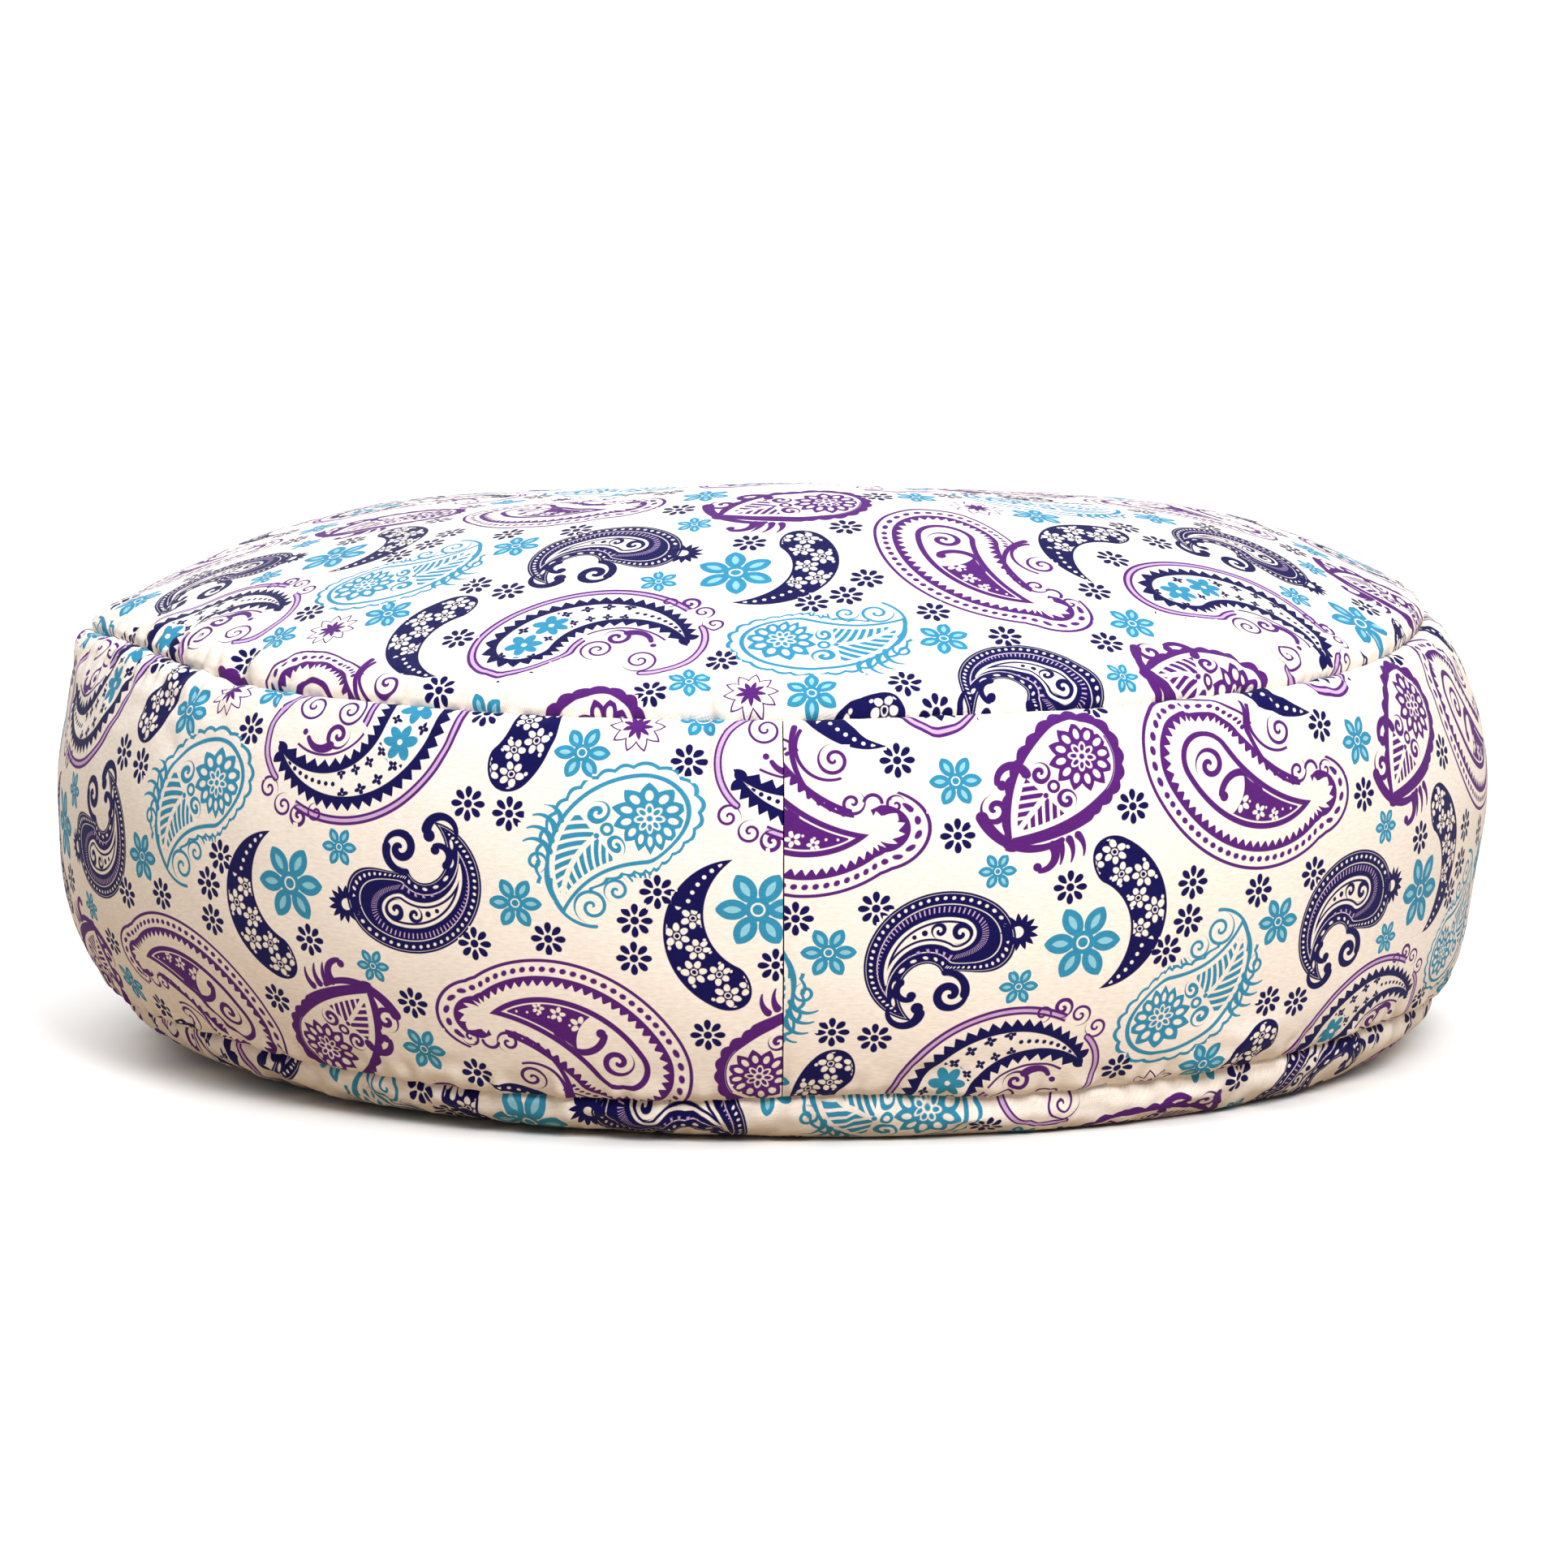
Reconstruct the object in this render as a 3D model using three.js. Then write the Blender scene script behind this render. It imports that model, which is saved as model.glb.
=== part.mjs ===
// Round floor cushion: a filled cover of printed cotton, in millimetres, +Z up.
// The cover is sewn from a round top panel, an upright side band and a round bottom panel, and packed with a
// soft filling. The filling crowns the top, swells the band and presses the base flat on the floor, so the
// cushion is one filled solid: a base, a roll up to the bottom seam, the band, the top seam and the crown.
// The origin is on the floor, under the middle of the cushion. The front faces -Y.
import { BufferAttribute, BufferGeometry, CatmullRomCurve3, Group, MathUtils, Mesh } from "three";
import { MeshStandardMaterial, Vector3 } from "three";

// Driving dimensions
const CROWN_HEIGHT = 311; // floor to the middle of the top panel
const GIRTH_RADIUS = 405; // the widest ring of the band
const GIRTH_HEIGHT = 160;
const BASE_RADIUS = 330; // the round face that stands on the floor
const LOW_SEAM = { radius: 365, height: 20 };
const TOP_SEAM = { radius: 384, height: 235 };

// Each seam is sewn into a channel that runs right round the cushion
const SEAM_CHANNEL = { depth: 4, halfWidth: 11 };

// Cotton ground of the print, as it averages over the cushion
const CLOTH_COLOUR = 0xe9e0d6;
const CLOTH_ROUGHNESS = 0.85;

// Profile from the middle of the base to the middle of the crown. Each stretch runs between two levels: 0 is
// the middle of the base, 0.5 its rim, 1 the bottom seam, 2 the top seam and 3 the middle of the crown. Its
// rings lie closest together at the seams that it names.
const STRETCHES = [
  {
    from: 0,
    to: 0.5,
    rings: 3,
    seams: [],
    rows: [
      { radius: 0, height: 0 },
      { radius: BASE_RADIUS, height: 0 },
    ],
  },
  {
    from: 0.5,
    to: 1,
    rings: 6,
    seams: ["end"],
    rows: [
      { radius: BASE_RADIUS, height: 0 },
      { radius: BASE_RADIUS + 17, height: 4 },
      { radius: LOW_SEAM.radius - 8, height: LOW_SEAM.height - 10 },
      LOW_SEAM,
    ],
  },
  {
    from: 1,
    to: 2,
    rings: 14,
    seams: ["start", "end"],
    rows: [
      LOW_SEAM,
      { radius: GIRTH_RADIUS - 21, height: LOW_SEAM.height + 34 },
      { radius: GIRTH_RADIUS - 8, height: GIRTH_HEIGHT - 68 },
      { radius: GIRTH_RADIUS - 1, height: GIRTH_HEIGHT - 25 },
      { radius: GIRTH_RADIUS, height: GIRTH_HEIGHT + 5 },
      { radius: GIRTH_RADIUS - 3, height: GIRTH_HEIGHT + 32 },
      { radius: GIRTH_RADIUS - 10, height: TOP_SEAM.height - 19 },
      TOP_SEAM,
    ],
  },
  {
    from: 2,
    to: 3,
    rings: 13,
    seams: ["start"],
    rows: [
      TOP_SEAM,
      { radius: TOP_SEAM.radius - 11, height: TOP_SEAM.height + 10 },
      { radius: TOP_SEAM.radius - 32, height: TOP_SEAM.height + 21 },
      { radius: 310, height: CROWN_HEIGHT - 36 },
      { radius: 250, height: CROWN_HEIGHT - 18 },
      { radius: 170, height: CROWN_HEIGHT - 8 },
      { radius: 80, height: CROWN_HEIGHT - 2 },
      { radius: 0, height: CROWN_HEIGHT },
    ],
  },
];

// Soft forms that make the filled cover uneven, each a smooth swell or dip on the profile.
// at and spread are degrees round the cushion, from the front and positive to its right; level and reach run
// along the profile; out is millimetres away from the middle, and up is millimetres up.
const FORMS = [
  { name: "flatter left shoulder", at: -75, spread: 50, level: 2.2, reach: 0.6, out: -12, up: 0 },
  { name: "left seam corner", at: -84, spread: 11, level: 2.0, reach: 0.25, out: 10, up: 1 },
  { name: "top seam rise, left", at: -66, spread: 24, level: 2.0, reach: 0.4, out: 0, up: 5 },
  { name: "steeper left band", at: -95, spread: 50, level: 1.75, reach: 0.5, out: -5, up: 0 },
  { name: "low left swell", at: -85, spread: 45, level: 1.1, reach: 0.45, out: 7, up: 0 },
  { name: "rounder right shoulder", at: 84, spread: 40, level: 2.1, reach: 0.55, out: -13, up: 8 },
  { name: "fuller right crown", at: 45, spread: 60, level: 2.4, reach: 0.5, out: 0, up: 8 },
  { name: "fuller front crown", at: 0, spread: 80, level: 2.62, reach: 0.42, out: 0, up: 18 },
  { name: "flatter back crown", at: 180, spread: 100, level: 2.6, reach: 0.55, out: 0, up: -9 },
  { name: "top seam sag, front", at: 0, spread: 80, level: 2.0, reach: 0.8, out: 0, up: -5 },
  { name: "base drawn in, left", at: -68, spread: 55, level: 0.5, reach: 0.5, out: -22, up: 0 },
  { name: "base drawn in, front", at: -25, spread: 40, level: 0.5, reach: 0.5, out: -12, up: 0 },
  { name: "base spread, right", at: 45, spread: 60, level: 0.5, reach: 0.5, out: 14, up: 0 },
  { name: "bottom seam rise, left", at: -68, spread: 55, level: 1.0, reach: 0.5, out: -3, up: 9 },
  { name: "bottom seam rise, front", at: 5, spread: 14, level: 1.0, reach: 0.4, out: 0, up: 4 },
  { name: "low right swell", at: 72, spread: 52, level: 0.97, reach: 0.45, out: 16, up: 12 },
  { name: "back dip, right", at: 150, spread: 45, level: 1.5, reach: 0.8, out: -5, up: 0 },
  { name: "back swell, left", at: -145, spread: 45, level: 1.6, reach: 0.8, out: 3, up: 0 },
  { name: "back seam dip", at: 178, spread: 30, level: 2.0, reach: 0.5, out: -4, up: -4 },
  { name: "upright seam, front", at: 1.0, spread: 1.2, level: 1.5, reach: 0.55, out: -2, up: 0 },
  { name: "upright seam, back", at: 181.0, spread: 1.2, level: 1.5, reach: 0.55, out: -2, up: 0 },
  { name: "front crease", at: -5.1, spread: 1.3, level: 1.97, reach: 0.33, out: -4, up: 0 },
  { name: "tuck at the top seam", at: -49, spread: 2.4, level: 2.02, reach: 0.1, out: -4, up: -2 },
  { name: "fold over the bottom seam", at: 40, spread: 9, level: 1.1, reach: 0.13, out: 4, up: -2 },
];

// Mesh steps: even steps round the cushion, with more of them across a narrow form
const STEP_DEGREES = 3.75;
const NARROW_SPREAD = 6;
const NARROW_STEPS = [-1, -0.5, 0, 0.5, 1];
const CLOSEST_DEGREES = 0.5;

function smoothBump(distance) {
  return Math.abs(distance) < 1 ? 0.5 + 0.5 * Math.cos(Math.PI * distance) : 0;
}

function degreesBetween(a, b) {
  return MathUtils.euclideanModulo(a - b + 180, 360) - 180;
}

function formWeight(form, level, angle) {
  const along = smoothBump((level - form.level) / form.reach);
  const around = smoothBump(degreesBetween(angle, form.at) / form.spread);
  return along * around;
}

// Share of a stretch at one of its even steps, eased so that rings crowd towards its seams
function easedShare(step, seams) {
  const [atStart, atEnd] = [seams.includes("start"), seams.includes("end")];
  if (atStart && atEnd) return 0.5 - 0.5 * Math.cos(Math.PI * step);
  if (atStart) return 1 - Math.cos((Math.PI / 2) * step);
  if (atEnd) return Math.sin((Math.PI / 2) * step);
  return step;
}

function channelDepth(share, length, seams) {
  const fromStart = seams.includes("start") ? share * length : Infinity;
  const fromEnd = seams.includes("end") ? (1 - share) * length : Infinity;
  return SEAM_CHANNEL.depth * smoothBump(Math.min(fromStart, fromEnd) / SEAM_CHANNEL.halfWidth);
}

// Rings of the profile: the level, radius and height of each, from the base to the crown
function profileRings() {
  const rings = [];
  for (const { from, to, rings: count, seams, rows } of STRETCHES) {
    const curve = new CatmullRomCurve3(rows.map((row) => new Vector3(row.radius, 0, row.height)));
    for (let i = 1; i <= count; i += 1) {
      const share = easedShare(i / count, seams);
      const point = curve.getPointAt(share);
      const radius = point.x - channelDepth(share, curve.getLength(), seams);
      rings.push({ level: MathUtils.lerp(from, to, share), radius, height: point.z });
    }
  }
  return rings;
}

function meridianAngles() {
  const narrow = FORMS.filter((form) => form.spread < NARROW_SPREAD);
  const fine = narrow.flatMap((form) => NARROW_STEPS.map((step) => form.at + step * form.spread));
  const isClear = (angle) => fine.every((other) => Math.abs(degreesBetween(angle, other)) > CLOSEST_DEGREES);
  const even = Array.from({ length: 360 / STEP_DEGREES }, (_, i) => -180 + i * STEP_DEGREES);
  return [...even.filter(isClear), ...fine].sort((a, b) => a - b);
}

// A point of the cover, with the soft forms added to the profile
function coverPoint(ring, angle) {
  let { radius, height } = ring;
  for (const form of FORMS) {
    const weight = formWeight(form, ring.level, angle);
    radius += form.out * weight;
    height += form.up * weight;
  }
  const turn = MathUtils.degToRad(angle);
  return [radius * Math.sin(turn), -radius * Math.cos(turn), height];
}

// The closed skin: two poles, and rows of points on the rings between them
function cushionGeometry() {
  const rings = profileRings();
  const crown = rings.pop();
  const angles = meridianAngles();
  const count = angles.length;
  const points = [[0, 0, 0]];
  rings.forEach((ring) => angles.forEach((angle) => points.push(coverPoint(ring, angle))));
  points.push([0, 0, crown.height]);

  const faces = [];
  const topPole = points.length - 1;
  for (let j = 0; j < count; j += 1) {
    const next = (j + 1) % count;
    faces.push(0, 1 + next, 1 + j);
    for (let i = 0; i + 1 < rings.length; i += 1) {
      const low = 1 + i * count;
      const high = low + count;
      faces.push(low + j, low + next, high + next);
      faces.push(low + j, high + next, high + j);
    }
    const last = 1 + (rings.length - 1) * count;
    faces.push(last + j, last + next, topPole);
  }

  const geometry = new BufferGeometry();
  geometry.setAttribute("position", new BufferAttribute(new Float32Array(points.flat()), 3));
  geometry.setIndex(faces);
  return standOnOrigin(geometry);
}

// The uneven cover is moved so that the origin lies under the middle of its box
function standOnOrigin(geometry) {
  geometry.computeBoundingBox();
  const middle = geometry.boundingBox.getCenter(new Vector3());
  geometry.translate(-middle.x, -middle.y, 0);
  geometry.computeVertexNormals();
  return geometry;
}

function makeCushion() {
  const cloth = new MeshStandardMaterial({ color: CLOTH_COLOUR, roughness: CLOTH_ROUGHNESS, metalness: 0 });
  const cushion = new Mesh(cushionGeometry(), cloth);
  cushion.name = "cushion";
  return cushion;
}

const model = new Group();
model.name = "round_floor_cushion";
model.add(makeCushion());

export default model;
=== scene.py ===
"""Round floor cushion: a printed cotton cover of four cut pieces, sewn together and packed tight.

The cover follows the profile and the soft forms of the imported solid. A cloth simulation fills it, its seams
are sewn in, and shader nodes print a paisley on it: each face of the mesh knows the figure that it lies in.
"""
import cmath
import math
from functools import reduce

import bmesh
import bpy
import numpy as np
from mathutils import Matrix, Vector


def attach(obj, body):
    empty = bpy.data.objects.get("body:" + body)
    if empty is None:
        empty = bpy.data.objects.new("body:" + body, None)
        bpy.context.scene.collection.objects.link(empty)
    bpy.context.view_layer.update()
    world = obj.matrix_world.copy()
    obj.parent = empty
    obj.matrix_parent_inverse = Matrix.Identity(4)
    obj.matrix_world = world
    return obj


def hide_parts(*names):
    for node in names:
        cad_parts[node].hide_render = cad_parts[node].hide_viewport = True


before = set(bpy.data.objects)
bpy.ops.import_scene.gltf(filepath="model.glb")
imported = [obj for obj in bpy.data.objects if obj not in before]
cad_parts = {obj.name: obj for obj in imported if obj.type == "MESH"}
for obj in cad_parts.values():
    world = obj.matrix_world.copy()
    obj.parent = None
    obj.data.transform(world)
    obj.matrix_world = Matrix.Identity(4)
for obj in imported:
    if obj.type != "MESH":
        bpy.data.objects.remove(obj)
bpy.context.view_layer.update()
MM = 0.001

# Driving sizes, in millimetres
CROWN_HEIGHT = 311
GIRTH_RADIUS = 405
GIRTH_HEIGHT = 160
BASE_RADIUS = 330
LOW_SEAM = (365, 20)
TOP_SEAM = (384, 235)

# Profile, as radius and height, from the middle of the base (level 0) over its rim (0.5), the bottom seam (1)
# and the top seam (2) to the middle of the crown (3)
STRETCHES = [
    (0, 0.5, [(0, 0), (BASE_RADIUS, 0)]),
    (0.5, 1, [(BASE_RADIUS, 0), (BASE_RADIUS + 17, 4), (LOW_SEAM[0] - 8, LOW_SEAM[1] - 10), LOW_SEAM]),
    (1, 2, [
        LOW_SEAM,
        (GIRTH_RADIUS - 21, LOW_SEAM[1] + 34),
        (GIRTH_RADIUS - 8, GIRTH_HEIGHT - 68),
        (GIRTH_RADIUS - 1, GIRTH_HEIGHT - 25),
        (GIRTH_RADIUS, GIRTH_HEIGHT + 5),
        (GIRTH_RADIUS - 3, GIRTH_HEIGHT + 32),
        (GIRTH_RADIUS - 10, TOP_SEAM[1] - 19),
        TOP_SEAM,
    ]),
    (2, 3, [
        TOP_SEAM,
        (TOP_SEAM[0] - 11, TOP_SEAM[1] + 10),
        (TOP_SEAM[0] - 32, TOP_SEAM[1] + 21),
        (310, CROWN_HEIGHT - 36),
        (250, CROWN_HEIGHT - 18),
        (170, CROWN_HEIGHT - 8),
        (80, CROWN_HEIGHT - 2),
        (0, CROWN_HEIGHT),
    ]),
]

# Soft forms of the filled cover: degrees from the front and their spread, level and reach along the profile,
# millimetres outwards and upwards
SOFT_FORMS = [
    ("flatter left shoulder", -75, 50, 2.2, 0.6, -12, 0),
    ("left seam corner", -84, 11, 2.0, 0.25, 10, 1),
    ("top seam rise, left", -66, 24, 2.0, 0.4, 0, 5),
    ("steeper left band", -95, 50, 1.75, 0.5, -5, 0),
    ("low left swell", -85, 45, 1.1, 0.45, 7, 0),
    ("rounder right shoulder", 84, 40, 2.1, 0.55, -13, 8),
    ("fuller right crown", 45, 60, 2.4, 0.5, 0, 8),
    ("fuller front crown", 0, 80, 2.62, 0.42, 0, 18),
    ("flatter back crown", 180, 100, 2.6, 0.55, 0, -9),
    ("top seam sag, front", 0, 80, 2.0, 0.8, 0, -5),
    ("base drawn in, left", -68, 55, 0.5, 0.5, -22, 0),
    ("base drawn in, front", -25, 40, 0.5, 0.5, -12, 0),
    ("base spread, right", 45, 60, 0.5, 0.5, 14, 0),
    ("bottom seam rise, left", -68, 55, 1.0, 0.5, -3, 9),
    ("bottom seam rise, front", 5, 14, 1.0, 0.4, 0, 4),
    ("low right swell", 72, 52, 0.97, 0.45, 16, 12),
    ("back dip, right", 150, 45, 1.5, 0.8, -5, 0),
    ("back swell, left", -145, 45, 1.6, 0.8, 3, 0),
    ("back seam dip", 178, 30, 2.0, 0.5, -4, -4),
    ("front crease", -5.1, 1.3, 1.97, 0.33, -4, 0),
    ("tuck at the top seam", -49, 2.4, 2.02, 0.1, -4, -2),
    ("fold over the bottom seam", 40, 9, 1.1, 0.13, 4, -2),
]

# The two upright seams of the band, in degrees from the front
FRONT_SEAM, BACK_SEAM = 1.0, 181.0
MM_PER_DEGREE = math.radians(400)  # cloth of the band along one degree, at its mean radius of 400 mm


def smooth_curve(rows, steps=60):
    """Points of a centripetal curve through the rows of a profile."""
    points = np.array(rows, float)
    if len(points) == 2:
        return np.linspace(points[0], points[1], steps)
    points = np.vstack([2 * points[0] - points[1], points, 2 * points[-1] - points[-2]])
    curve = []
    for near in zip(points, points[1:], points[2:], points[3:]):
        knots = np.append(0, np.cumsum(np.linalg.norm(np.diff(near, axis=0), axis=1) ** 0.5))
        t = np.linspace(knots[1], knots[2], steps, endpoint=False)[:, None]
        for first, wide in ((0, 1), (0, 2), (1, 1)):
            pairs = zip(near, near[1:], knots[first:], knots[first + wide:])
            near = [((end - t) * a + (t - start) * b) / (end - start) for a, b, start, end in pairs]
        curve.append(near[0])
    return np.vstack(curve + [points[-2:-1]])


def measured(curve):
    """Length along a curve at each of its points."""
    return np.concatenate([[0], np.cumsum(np.linalg.norm(np.diff(curve, axis=0), axis=1))])


CURVES = [(low, high, smooth_curve(rows)) for low, high, rows in STRETCHES]
ROLL_LENGTH, BAND_LENGTH, CROWN_LENGTH = (measured(curve)[-1] for _, _, curve in CURVES[1:])


def smooth_bump(distance):
    return 0.5 + 0.5 * np.cos(np.pi * np.clip(distance, -1, 1))


def near_angle(angle, at, spread):
    """1 at an angle round the cushion, down to 0 at this spread from it, in degrees."""
    return smooth_bump(((angle - at + 180) % 360 - 180) / spread)


def cover_point(level, angle):
    """Points of the smooth cover, in millimetres, at levels and at degrees from the front."""
    radius = np.zeros_like(level)
    height = np.zeros_like(level)
    for low, high, curve in CURVES:
        inside = (level >= low) & (level <= high)
        length = measured(curve)
        at = (level[inside] - low) / (high - low) * length[-1]
        radius[inside] = np.interp(at, length, curve[:, 0])
        height[inside] = np.interp(at, length, curve[:, 1])
    for _, at, spread, form_level, reach, out, up in SOFT_FORMS:
        weight = near_angle(angle, at, spread) * smooth_bump((level - form_level) / reach)
        radius += out * weight
        height += up * weight
    phi = np.radians(angle)
    return np.stack([radius * np.sin(phi), -radius * np.cos(phi), height], axis=-1)


def quads_between(low, high, closed=False):
    """Faces between two rows of point numbers."""
    if closed:
        low, high = np.append(low, low[0]), np.append(high, high[0])
    return [(a, b, d, c) for a, b, c, d in zip(low, low[1:], high, high[1:])]


def grid_quads(rows, closed=False):
    """Faces between all the rows of a grid of point numbers."""
    return [quad for low, high in zip(rows, rows[1:]) for quad in quads_between(low, high, closed)]


def middle_of_cover():
    """Middle of the cover's plan, which comes to stand on the origin."""
    level, angle = np.meshgrid(np.linspace(0.4, 2.4, 160), np.linspace(-180, 180, 720))
    points = cover_point(level, angle).reshape(-1, 3)
    return (points.min(axis=0) + points.max(axis=0)) / 2 * (1, 1, 0)


MIDDLE = middle_of_cover()


def cover_normal(level, angle):
    """Outward directions of the smooth cover."""
    step = 0.004
    along = cover_point(np.clip(level + step, 0, 3), angle) - cover_point(np.clip(level - step, 0, 3), angle)
    around = cover_point(level, angle + 0.5) - cover_point(level, angle - 0.5)
    normal = np.cross(around, along)
    return normal / np.maximum(np.linalg.norm(normal, axis=-1, keepdims=True), 1e-9)


# Sewn seams, in millimetres
TOP_PULL, LOW_PULL, UPRIGHT_PULL = 3.6, 4.0, 1.3  # the thread draws each seam this far into the filling
SEAM_REACH, UPRIGHT_REACH = 13.0, 7
EDGE_CLEAR = 14  # an upright seam fades out this far from the round seams
FLAT_CHANNEL = (-88, 48)  # the channel of the top seam is flat here: degrees from the front, and spread
NOTCH, NOTCH_REACH = 4.0, 3.4  # the narrow notch at the thread
GATHER_WAVES, BROAD_WAVES = (1.7, 2.3, 2.9, 3.7), (23, 41, 77)  # wavelengths round the cushion, in degrees
# The seam allowance lifts the band below the top seam at its left: degrees, distance from the seam
RIDGE, RIDGE_PLACE, RIDGE_BELOW = 0.8, (-66, 28), (9, 6)
# A sharp crease from the crown down over the top seam: degrees, level
CREASE, CREASE_PLACE, CREASE_LEVEL = 3.8, (-5.1, 0.7), (1.97, 0.34)
CLEFT = 0.35  # half the gap between two pieces where they turn in to the seam
TURNED_IN = [1.2, 2.6, 5.0]  # rows of the seam allowance, which turns into the cushion
WALL = 9.0  # cloth with the filling that it presses on

# Rows of the meshes beside a round seam, on the edge of the base and beside an upright seam
EDGE_STEPS = [18, 15.5, 13, 11, 9, 7.3, 5.8, 4.5, 3.4, 2.5, 1.7, 1.0, 0.6, CLEFT]
BASE_STEPS = [45, 36, 28, 22] + EDGE_STEPS
UPRIGHT_STEPS = [9, 7, 5.3, 4, 2.9, 2, 1.2, 0.6, CLEFT]
DISC_COUNT = {"top_panel": 200, "bottom_panel": 128}  # faces across the middle of a round panel
DISC_GAP = 2.6  # between this middle and the rows at its edge
BAND_SPACING = (3.4, 3.2)  # of the rows and of the columns of the band
WALL_RINGS = (0.97, 0.8, 0.5, 0.25)  # rings of a round panel's inner wall, as share of its radius
WALL_ROWS, WALL_MARGIN = 9, 4  # rows of the band's inner wall, and their distance from the seams


def ripple(angle, wavelengths, seed):
    """An uneven wave round the cushion, from -1 to 1: sines of several wavelengths in degrees."""
    random = np.random.default_rng(seed)
    wave = np.zeros_like(angle)
    for length in wavelengths:
        wave += np.sin(np.radians(angle) * round(360 / length) + random.uniform(0, 2 * math.pi))
    return wave / len(wavelengths)


# Filling. A coarse cover, a little too long round its seams, is blown up in a cloth simulation. The folds in
# which it comes to lie are carried over to the fine pieces.
FILL_FRAMES = 20

FILL_ANGLE = 0.9  # degrees between two columns of the coarse cover
FILLED_FROM = 0.55  # the level at which the cover leaves the floor
FILL_LEVELS = np.array([
    *np.linspace(FILLED_FROM, 1, 8)[:-1], *np.linspace(1, 2, 31), *np.linspace(2, 2.5, 26)[1:],
])
SLACK = 0.1  # share of extra cloth at a seam
SLACK_REACH = 30.0  # and how far from the seam it is spread
MOST_SHIFT = 4.0  # no point is moved further than this
BROAD_FORM = 12  # fewer waves than this round the cushion are its broad form, which the profile has
GATHERS = [(-66, 32, 1.0), (42, 26, 0.7)]  # where most cloth is gathered: degrees, their spread, and how much
FINE_FOLDS, WIDE_FOLDS = (1.9, 2.4, 3.1, 4.3, 6.1), (7, 11, 17)  # wavelengths that it starts with, in degrees
TAUT_STEPS = 20  # steps in which the slack changes from point to point
CLOTH = {
    "vertex_group_shrink": "taut", "shrink_min": -SLACK, "shrink_max": 0, "vertex_group_mass": "held",
    "use_pressure": True, "uniform_pressure_force": 4.0, "quality": 4, "mass": 0.15,
    "tension_stiffness": 30, "compression_stiffness": 30, "shear_stiffness": 8, "bending_stiffness": 0.05,
}


def seam_distances(level):
    """Millimetres of cloth from a level to the bottom seam and to the top seam."""
    from_low = np.where(level < 1, (1 - level) * 2 * ROLL_LENGTH, (level - 1) * BAND_LENGTH)
    from_top = np.where(level < 2, (2 - level) * BAND_LENGTH, (level - 2) * CROWN_LENGTH)
    return from_low, from_top


# Levels at a distance from the middle of the crown, and from that of the base
def crown_level(distance):
    return 3 - distance / CROWN_LENGTH


def base_level(distance):
    on_roll = 0.5 + 0.5 * (distance - BASE_RADIUS) / ROLL_LENGTH
    return np.clip(np.where(distance < BASE_RADIUS, 0.5 * distance / BASE_RADIUS, on_roll), 0, 1)


def gathered(angle):
    """How much cloth is gathered at the top seam, round the cushion."""
    uneven = 0.55 + 0.45 * ripple(angle, (31, 53), 13)
    return 0.35 * uneven + sum(amount * near_angle(angle, at, spread) for at, spread, amount in GATHERS)


def slack_share(level, angle):
    """Share of the slack that each point of the cover gets, which is all beside the seams."""
    from_low, from_top = seam_distances(level)
    slack = np.clip(smooth_bump(from_top / SLACK_REACH) * gathered(angle), 0, 1)
    return np.maximum(slack, 0.5 * smooth_bump(from_low / SLACK_REACH))


def mesh_object(name, points, faces):
    """A mesh object at the origin, of points in metres."""
    mesh = bpy.data.meshes.new(name)
    mesh.from_pydata(points.reshape(-1, 3).tolist(), [], [[int(i) for i in face] for face in faces])
    item = bpy.data.objects.new(name, mesh)
    bpy.context.collection.objects.link(item)
    return item


def coarse_cover(level, angle):
    """The coarse cover, with groups of the points that are held and of those that are taut."""
    slack = slack_share(level, angle)
    folds = 0.8 * slack * ripple(angle, FINE_FOLDS, 29) + 0.3 * ripple(angle + 40 * level, WIDE_FOLDS, 31)
    points = cover_point(level, angle) + folds[..., None] * cover_normal(level, angle)
    number = np.arange(level.size).reshape(level.shape)
    cover = mesh_object("coarse_cover", points * MM, grid_quads(number, closed=True))

    taut = cover.vertex_groups.new(name="taut")
    step = np.round((1 - slack.ravel()) * TAUT_STEPS)
    for i in range(TAUT_STEPS + 1):
        taut.add(np.flatnonzero(step == i).tolist(), i / TAUT_STEPS, "REPLACE")
    held = cover.vertex_groups.new(name="held")
    held_rows = [0, -1] + [np.argmin(abs(level[:, 0] - seam)) for seam in (1, 2)]
    held.add(number[held_rows].ravel().tolist(), 1.0, "REPLACE")
    return cover


def blown_up(cover):
    """Points of the coarse cover, in millimetres, when the simulation has run."""
    cloth = cover.modifiers.new("filling", "CLOTH")
    for name, value in CLOTH.items():
        setattr(cloth.settings, name, value)
    cloth.settings.effector_weights.gravity = 0
    cloth.point_cache.frame_start, cloth.point_cache.frame_end = 1, FILL_FRAMES
    for number in range(1, FILL_FRAMES + 1):
        bpy.context.scene.frame_set(number)
    settled = cover.evaluated_get(bpy.context.evaluated_depsgraph_get()).to_mesh()
    points = np.empty(len(settled.vertices) * 3)
    settled.vertices.foreach_get("co", points)
    cover.to_mesh_clear()
    bpy.context.scene.frame_set(1)
    bpy.data.objects.remove(cover)
    return points.reshape(-1, 3) / MM


def folds_of_filling():
    """Millimetres that each point of the coarse cover moves into its folds: (levels, angles, 3)."""
    level, angle = np.meshgrid(FILL_LEVELS, np.arange(-180, 180, FILL_ANGLE), indexing="ij")
    moved = blown_up(coarse_cover(level, angle)).reshape(*level.shape, 3) - cover_point(level, angle)
    waves = np.fft.rfft(moved, axis=1)
    waves[:, :BROAD_FORM] = 0
    moved = np.fft.irfft(waves, level.shape[1], axis=1)
    length = np.linalg.norm(moved, axis=-1, keepdims=True)
    return moved * np.minimum(1, MOST_SHIFT / np.maximum(length, 1e-9))


FOLDS = folds_of_filling()


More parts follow.
